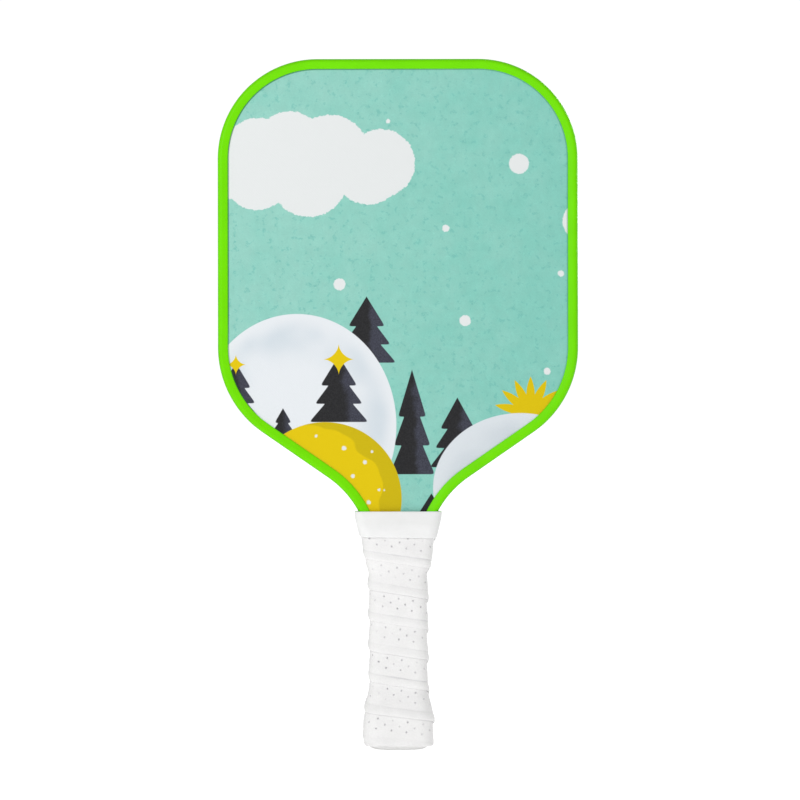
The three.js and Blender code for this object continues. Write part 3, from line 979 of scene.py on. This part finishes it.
class Strip:
    """The wound strip: columns along its length, rows across it, and a patch round each hole."""

    top_rises = [
        0.0, 0.10, 0.32, 0.70, 1.30, 2.1, 3.0, 3.8, 4.4, 4.75, 5.05, 5.4, 6.0, 6.8, 7.65, 8.5,
        9.5, 10.5, 11.4, 12.4, 13.4, 14.3, 15.3, 16.3, 17.0, 17.6, 18.6, 20.0, 21.3, 22.1,
    ]
    bottom_rises = [21.8, 18.5, 14.0, 9.0, 6.0, 5.2, 4.4, 2.2, 0.35]

    def __init__(self):
        self.points = []
        self.faces = []
        self.painted_shades = []
        self.turns = self.column_turns()

    def column_turns(self):
        """Turn counts of the columns, evenly spaced along the strip."""
        turns = []
        turn = (WRAP_START_Z - STRIP_WIDTH - STRIP_PHASE_Z) / STRIP_PITCH
        last = (WRAP_TOP_Z - 1 - STRIP_PHASE_Z) / STRIP_PITCH
        while turn < last:
            turns.append(turn)
            turn += STRIP_STEP / self.turn_length(turn)
        return turns

    def turn_length(self, turn):
        middle_z = min(WRAP_TOP_Z, max(WRAP_START_Z, strip_line(turn) + STRIP_WIDTH / 2))
        half_width, half_depth, corner = base_section(middle_z)
        return section_length((half_width + 2, half_depth + 2, corner + 2))

    def place(self, turn, rise, height, outside):
        """The point at that rise above the strip's lower edge and that height over the handle."""
        lean = STRIP_LEAN / self.turn_length(turn)
        fraction = turn - rise * lean
        z = strip_line(fraction) + rise
        wobble = EDGE_WOBBLE * noise.noise(Vector((fraction * 2.3, 0.4, 7.1)))
        z = min(WRAP_TOP_Z, max(WRAP_START_Z, z + wobble * ease(z, WRAP_START_Z, WRAP_START_Z + 6)))
        section = base_section(z)
        x, y, out_x, out_y, bulge = section_point(section, fraction)
        if outside:
            rim = min(1, (z - WRAP_START_Z) / WRAP_RIM_RADIUS)
            height *= math.sqrt(max(0, 1 - (1 - rim) ** 2))
            lump = noise.noise(Vector((x * 0.09, y * 0.09, z * 0.16)))
            pull = noise.noise(Vector((x * 0.25 + 9, y * 0.25, z * 0.5)))
            height += (SKIN_LUMPS * lump + SKIN_PULLS * pull) * rim
        height += STRIP_CROWN * bulge
        return x + out_x * height, y + out_y * height, z

    def rise_limits(self, turn):
        """The rises between which the strip isn't trimmed, at its start along the cap and at its end."""
        climb = 1 - STRIP_PITCH * STRIP_LEAN / self.turn_length(turn)
        low = (WRAP_START_Z - strip_line(turn)) / climb
        high = (WRAP_TOP_Z - strip_line(turn)) / climb
        return low, high

    def column_rises(self, turn, rises):
        """The rows' rises in a column. Rows past a trimmed edge gather at it, the last few along its rim."""
        low, high = self.rise_limits(turn)
        ordered = sorted(rises)
        spacing = 0.006
        rim_rows = 6
        below = sum(rise <= low for rise in ordered)
        gap = ordered[below] - low if below < len(ordered) else 0
        trimmed = {}
        for index, rise in enumerate(ordered):
            lowest = low + index * spacing
            if index < below:
                lowest += gap * max(0, 1 - (below - index) / rim_rows) ** 1.5
            highest = high - (len(ordered) - 1 - index) * spacing
            trimmed[rise] = min(highest, max(lowest, rise))
        return [trimmed[rise] for rise in rises]

    def add_point(self, turn, rise, height, outside=True, painted_shade=0.0):
        self.points.append(self.place(turn, rise, height, outside))
        self.painted_shades.append(painted_shade)
        return len(self.points) - 1

    def hole_at(self, column, rises):
        """The rows that a hole is centred on in this column, where the strip isn't trimmed round it."""
        if not 0 < column < len(self.turns) - 1:
            return []
        here = [rise for rise, phase in HOLE_ROWS if column % HOLE_PITCH_STEPS == phase]
        rows = [self.top_rises.index(rise) for rise in here]
        return [row for row in rows if all(
            abs(rises[near][row + step] - self.top_rises[row + step]) < 1e-6
            for near in (column - 1, column, column + 1)
            for step in (-1, 0, 1)
        )]

    def build(self):
        top_count = len(self.top_rises)
        rises = []
        for turn in self.turns:
            top = self.column_rises(turn, self.top_rises)
            bottom = self.column_rises(turn, self.bottom_rises)
            rises.append(top)
            for rise in top:
                self.add_point(turn, rise, strip_top(turn, rise), painted_shade=crease_shade(turn, rise))
            for rise in bottom:
                height = min(strip_bottom(turn, rise), strip_top(turn, rise))
                self.add_point(turn, rise, height, outside=False)
        column_size = top_count + len(self.bottom_rises)
        taken = set()
        for column, turn in enumerate(self.turns):
            for row in self.hole_at(column, rises):
                self.add_hole(column, row, turn, column_size)
                taken |= {(column + i) * column_size + row + j for i in (-1, 0) for j in (-1, 0)}
        skin = tube_faces(len(self.turns), column_size)
        self.faces += [face for face in skin if face[0] not in taken]

    def add_hole(self, column, row, turn, column_size):
        """A round hole with a rolled lip and a floor, joined to the eight points round it."""
        around = [(-1, -1), (0, -1), (1, -1), (1, 0), (1, 1), (0, 1), (-1, 1), (-1, 0)]
        ring = [(column + i) * column_size + row + j for i, j in around]
        centre_rise = self.top_rises[row]
        turn_step = self.turn_length(turn)
        openness = min(1, 0.75 + 0.8 * noise.noise(Vector((turn * 23, centre_rise * 1.7, 0.6))))
        for radius, depth in HOLE_RINGS:
            next_ring = []
            for i, j in around:
                reach = math.hypot(i, j)
                side = radius * i / reach
                rise = centre_rise + radius * j / reach
                height = strip_top(turn, rise) - depth * openness
                # Painted shade inside the hole, darker on the deeper rings.
                shade = min(1, HOLE_SHADE * depth * openness)
                next_ring.append(self.add_point(turn + side / turn_step, rise, height, painted_shade=shade))
            for k in range(8):
                self.faces.append((ring[k], ring[(k + 1) % 8], next_ring[(k + 1) % 8], next_ring[k]))
            ring = next_ring
        self.faces.append(tuple(ring))


def crease_shade(turn, rise):
    """How far down a seam a point is: the grip's material paints shade there by this amount."""
    fold = folding(turn)
    at_edge = lerp(0.45, 0.1, fold) * seam_strength(turn, EDGE_SEED) * max(0, 1 - rise / 0.3)
    below_next = lerp(0.1, 0.35, fold) * bell(rise - STRIP_PITCH, 0.35)
    at_fold = lerp(0.2, 1.0, fold) * seam_strength(turn, FOLD_SEED) * bell(rise - FOLD_RISE, 0.3)
    return min(1, at_edge + below_next + at_fold)


def make_grip():
    strip = Strip()
    strip.build()
    used = {index for face in strip.faces for index in face}
    painted_shades = [value for index, value in enumerate(strip.painted_shades) if index in used]
    grip = make_piece("wound_grip_strip", strip.points, strip.faces, grip_foam(), "grip_tape")
    add_attribute(grip, "painted_shade", painted_shades)
    smooth(grip, 60)


# ---- the collar

# Outside of the collar from the bottom up, before its edges are rounded.
COLLAR_SECTIONS = [
    (121.6, 21.8, 13.9, 6.8),
    (125.8, 23.0, 13.5, 6.6),
    (129.2, 23.9, 12.6, 6.2),
    (132.7, 24.6, 11.2, 5.6),
    (136.7, 25.0, 9.65, 4.6),
]
COLLAR_THICKNESS = 1.25
COLLAR_TOP_Z = collar_high.z
COLLAR_EDGE = 1.1
COLLAR_WAVE = 0.14
COLLAR_CROWN = 0.2
COLLAR_DROOP = 0.35  # how much lower the bottom edge is on the right, and higher on the left


def collar_section(z):
    index = row_below(COLLAR_SECTIONS, z)
    low, high = COLLAR_SECTIONS[index], COLLAR_SECTIONS[index + 1]
    t = (z - low[0]) / (high[0] - low[0])
    return tuple(lerp(low[k], high[k], t) for k in range(1, 4))


def collar_profile():
    """(z, offset) rows up the outside from the rolled lower edge, over the crisp top and down the inside."""
    bottom = COLLAR_SECTIONS[0][0]
    low_edge_z = bottom + COLLAR_EDGE
    rows = []
    for step in range(7):
        angle = QUARTER_TURN * (1 - step / 6)
        rows.append((low_edge_z - COLLAR_EDGE * math.sin(angle), -COLLAR_EDGE * (1 - math.cos(angle))))
    rows += [(lerp(low_edge_z, COLLAR_TOP_Z - 0.5, step / 12), 0.0) for step in range(1, 13)]
    rows += [(COLLAR_TOP_Z - 0.22, -0.05), (COLLAR_TOP_Z - 0.05, -0.2), (COLLAR_TOP_Z, -0.45)]
    return rows + [(z, -COLLAR_THICKNESS) for z in (COLLAR_TOP_Z, 132.0, 127.0)]


def make_collar():
    """A stretched rubber band."""
    columns = 160
    bottom = COLLAR_SECTIONS[0][0]
    rows = collar_profile()
    points = []
    for z, offset in rows:
        section = collar_section(z)
        for column in range(columns):
            x, y, out_x, out_y, bulge = section_point(section, column / columns)
            push = offset
            if offset > -1:
                push += COLLAR_WAVE * noise.noise(Vector((x * 0.12, y * 0.12, z * 0.22)))
                push += COLLAR_CROWN * bulge
            droop = COLLAR_DROOP * (x / section[0]) * (1 - ease(z, bottom, bottom + 7))
            points.append((x + out_x * push, y + out_y * push, z - droop))
    faces = wall_faces(len(rows), columns, True, True)
    collar = make_piece("rubber_collar", points, faces, collar_rubber(), "grip_collar")
    smooth(collar, 50)


# ---- the butt cap and its badge plate


def make_lofted(name, sections, column_count, material, replaced):
    """A solid piece through (z, half width, half depth, corner) sections."""
    points = []
    for z, *section in sections:
        for column in range(column_count):
            x, y, *_ = section_point(section, column / column_count)
            points.append((x, y, z))
    faces = tube_faces(len(sections), column_count)
    piece = make_piece(name, points, faces, material, replaced)
    smooth(piece, 35)


def make_cap():
    """The moulded cap: a recess for the badge, a domed end and the flare that the grip covers."""
    recess = (9.2, 6.7, 6.05)
    sections = [
        (1.0, *recess),
        (0.25, *recess),
        grown((0.0, *recess), 0.25),
        (0.0, 11.2, 8.6, 6.6),
        (0.08, 12.2, 9.6, 7.0),
        (0.35, 13.6, 10.9, 7.1),
        (0.8, 14.9, 12.2, 7.2),
        (1.4, 16.0, 13.3, 7.3),
        (2.1, 17.0, 14.15, 7.4),
        (2.7, 17.55, 14.55, 7.5),
        (3.4, 17.8, 14.7, 7.5),
        (19.0, 17.8, 14.7, 7.5),
        (35.0, 14.87, 12.4, 5.4),
        (35.0, 14.47, 12.0, 5.0),
        (3.2, 14.47, 12.0, 5.0),
    ]
    make_lofted("domed_butt_cap", sections, 128, cap_plastic(), "butt_cap")


def make_medallion():
    """A blank badge plate with a raised rim and a shallow dish inside it."""
    plate = (9.0, 6.5, 5.85)
    profile = [
        (1.0, 0.0), (0.25, 0.0), (0.08, -0.12), (0.05, -0.45), (0.08, -0.75), (0.40, -1.05),
        (0.45, -2.4), (0.30, -2.7), (0.30, -3.1), (0.45, -3.4), (0.45, -5.2),
    ]
    sections = [grown((z, *plate), offset) for z, offset in profile]
    make_lofted("badge_plate", sections, 96, medallion_plastic(), "butt_cap_medallion")


# ---- camera, light and floor

CAMERA_DISTANCE = 2.5
FRAME_WIDTH = 0.4588
CAMERA_X = 0.0011
CAMERA_Z = 0.2006
CAMERA_ROLL = math.radians(0.08)

SOFTBOX_SIZE = 0.6
SOFTBOX_POWER = 4.9
SOFTBOX_TARGET = Vector((0, 0, 0.22))
WORLD_LIGHT = 0.60
WORLD_GLOSS = 0.15
BACKDROP_WHITE = 1.05
FLOOR_WHITE = 0.8
FLOOR_GLOSS = 0.15
FLOOR_GLOW = 0.8
FLOOR_LIGHT = 0.4
FLOOR_Z = -0.0004


def make_camera():
    data = bpy.data.cameras.new("camera")
    data.sensor_width = 36
    data.lens = data.sensor_width * (CAMERA_DISTANCE - PANEL_HALF_THICKNESS * MM) / FRAME_WIDTH
    data.clip_end = 50
    camera = add_object("camera", data)
    camera.location = (CAMERA_X, -CAMERA_DISTANCE, CAMERA_Z)
    camera.rotation_euler = (QUARTER_TURN, CAMERA_ROLL, 0)
    bpy.context.scene.camera = camera


def add_softbox(name, place):
    """A square softbox in that place, aimed at the paddle's middle."""
    data = bpy.data.lights.new(name, "AREA")
    data.shape = "SQUARE"
    data.size = SOFTBOX_SIZE
    data.energy = SOFTBOX_POWER
    light = add_object(name, data)
    light.location = place
    light.rotation_euler = (SOFTBOX_TARGET - light.location).to_track_quat("-Z", "Y").to_euler()
    light.visible_camera = False


def ray_switch(tree, otherwise, **levels):
    """A level for each kind of ray that is named, such as camera or glossy, and otherwise for the rest."""
    rays = add_node(tree, "LightPath", {})
    result = otherwise
    for kind, level in levels.items():
        is_kind = rays.outputs[f"Is {kind.title()} Ray"]
        result = add_node(tree, "Mix", {"Factor": is_kind, "A": result, "B": level}).outputs["Result"]
    return result


def make_world():
    """White to the camera, and a dimmer white as light."""
    world = bpy.data.worlds.new("studio")
    bpy.context.scene.world = world
    world.use_nodes = True
    tree = world.node_tree
    background = tree.nodes["Background"]
    background.inputs["Color"].default_value = (1, 1, 1, 1)
    strength = ray_switch(tree, WORLD_LIGHT, glossy=WORLD_GLOSS, camera=BACKDROP_WHITE)
    feed(background.inputs["Strength"], strength)


def make_floor():
    """A wide white floor just under the butt. It glows, more to the camera, to meet the backdrop unseen."""
    radius = 30.0
    corners = 96
    angles = [2 * math.pi * corner / corners for corner in range(corners)]
    points = [(radius * math.cos(angle), radius * math.sin(angle), FLOOR_Z) for angle in angles]
    mesh = bpy.data.meshes.new("studio_floor")
    mesh.from_pydata(points, [], [tuple(range(corners))])
    surface = Surface("studio_floor", Roughness=0.9, Specular_IOR_Level=0.0, Emission_Color=(1, 1, 1, 1))
    white = ray_switch(surface.tree, FLOOR_WHITE, glossy=FLOOR_GLOSS)
    glow = ray_switch(surface.tree, FLOOR_LIGHT, glossy=0.0, camera=FLOOR_GLOW)
    feed(surface.shader.inputs["Base Color"], white)
    feed(surface.shader.inputs["Emission Strength"], glow)
    mesh.materials.append(surface.material)
    add_object("studio_floor", mesh)


# ---- the scene

make_camera()
make_world()
make_floor()
add_softbox("key_softbox", (-0.60, -1.15, 0.60))
add_softbox("back_key_softbox", (0.60, 1.15, 0.60))
bpy.context.scene.view_settings.view_transform = "Standard"

dress_cad_nodes()
make_film("front")
make_film("back")
make_guard()
make_grip()
make_collar()
make_cap()
make_medallion()
